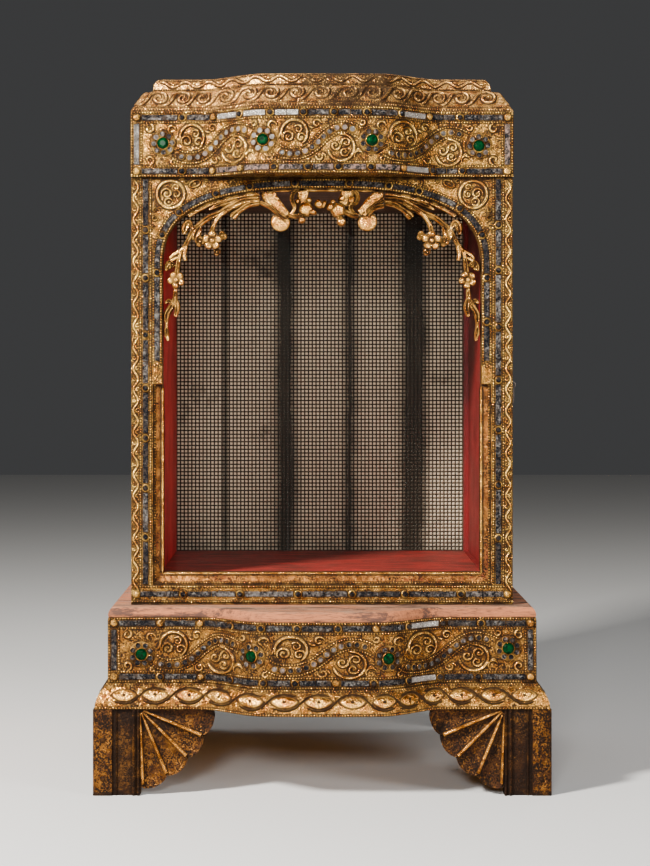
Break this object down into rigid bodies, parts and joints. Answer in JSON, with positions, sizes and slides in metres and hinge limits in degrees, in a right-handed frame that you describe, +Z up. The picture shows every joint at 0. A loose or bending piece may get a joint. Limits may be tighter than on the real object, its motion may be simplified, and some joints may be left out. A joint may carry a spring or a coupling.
{
  "type": "temple shrine",
  "caption": "Glazed case for a sacred image, with a carved and gilded bow-fronted crown and plinth, glass inlay, pierced arch, side door and bracket feet.",
  "frame": {"origin": "on the floor, under the middle of the shrine's box", "axes": "+Z up, the glazed front looks towards -Y, +X to the right when facing it"},
  "size_m": [0.498, 0.4248, 0.7874],
  "materials": {
    "gilding": "gold leaf on raised lacquer over carved wood",
    "worn_gilding": "worn and darkened gold leaf over carved wood",
    "bare_wood": "bare and dusty",
    "red_lacquer": "worn red lacquer",
    "dark_wood": "plain dark wood",
    "pale_board": "unfinished boards",
    "iron": "dull iron wire and plate",
    "green_glass": "cut green glass",
    "clear_glass": "clear pane",
    "mirror_glass": "aged mirror inlay"
  },
  "bodies": {
    "shrine": {"arch_tracery_centre": "gilding", "arch_tracery_left": "gilding", "arch_tracery_right": "gilding", "back_board_1": "pale_board", "back_board_2": "pale_board", "back_board_3": "pale_board", "back_board_4": "pale_board", "back_board_5": "pale_board", "back_glass": "clear_glass", "case_ceiling": "dark_wood", "case_floor": "red_lacquer", "case_left_side": "red_lacquer", "door_hinge_lower_case_leaf": "iron", "door_hinge_upper_case_leaf": "iron", "foot_back_left_face": "worn_gilding", "foot_back_left_side": "worn_gilding", "foot_back_right_face": "worn_gilding", "foot_back_right_side": "worn_gilding", "foot_front_left_face": "worn_gilding", "foot_front_left_side": "worn_gilding", "foot_front_right_face": "worn_gilding", "foot_front_right_side": "worn_gilding", "foot_moulding": "gilding", "frieze_back": "dark_wood", "frieze_front": "gilding", "frieze_left": "gilding", "frieze_right": "gilding", "frieze_stone_1": "green_glass", "frieze_stone_2": "green_glass", "frieze_stone_3": "green_glass", "frieze_stone_4": "green_glass", "front_frame": "gilding", "front_glass": "clear_glass", "plinth_back": "dark_wood", "plinth_front": "gilding", "plinth_left": "gilding", "plinth_right": "gilding", "plinth_stone_1": "green_glass", "plinth_stone_2": "green_glass", "plinth_stone_3": "green_glass", "plinth_stone_4": "green_glass", "plinth_top": "bare_wood", "right_bottom_rail": "red_lacquer", "right_front_stile": "red_lacquer", "right_rear_stile": "red_lacquer", "right_top_rail": "red_lacquer", "roof_cap_lower": "gilding", "roof_cap_upper": "gilding", "slip_bottom": "gilding", "slip_left": "gilding", "slip_right": "gilding"},
    "door": {"side_door": "red_lacquer", "door_hinge_lower_door_leaf": "iron", "door_hinge_upper_door_leaf": "iron", "pull_eye": "iron"},
    "ring": {"pull_ring": "iron"}
  },
  "joints": [
    {"name": "door_swing", "type": "hinge", "parent": "shrine", "child": "door", "pos_m": [0.2111, 0.17195, 0.4388], "axis": [0, 0, 1], "range_deg": [0, 100]},
    {"name": "ring_swing", "type": "hinge", "parent": "door", "child": "ring", "pos_m": [0.224, -0.00555, 0.44495], "axis": [0, -1, 0], "range_deg": [-40, 100]}
  ]
}
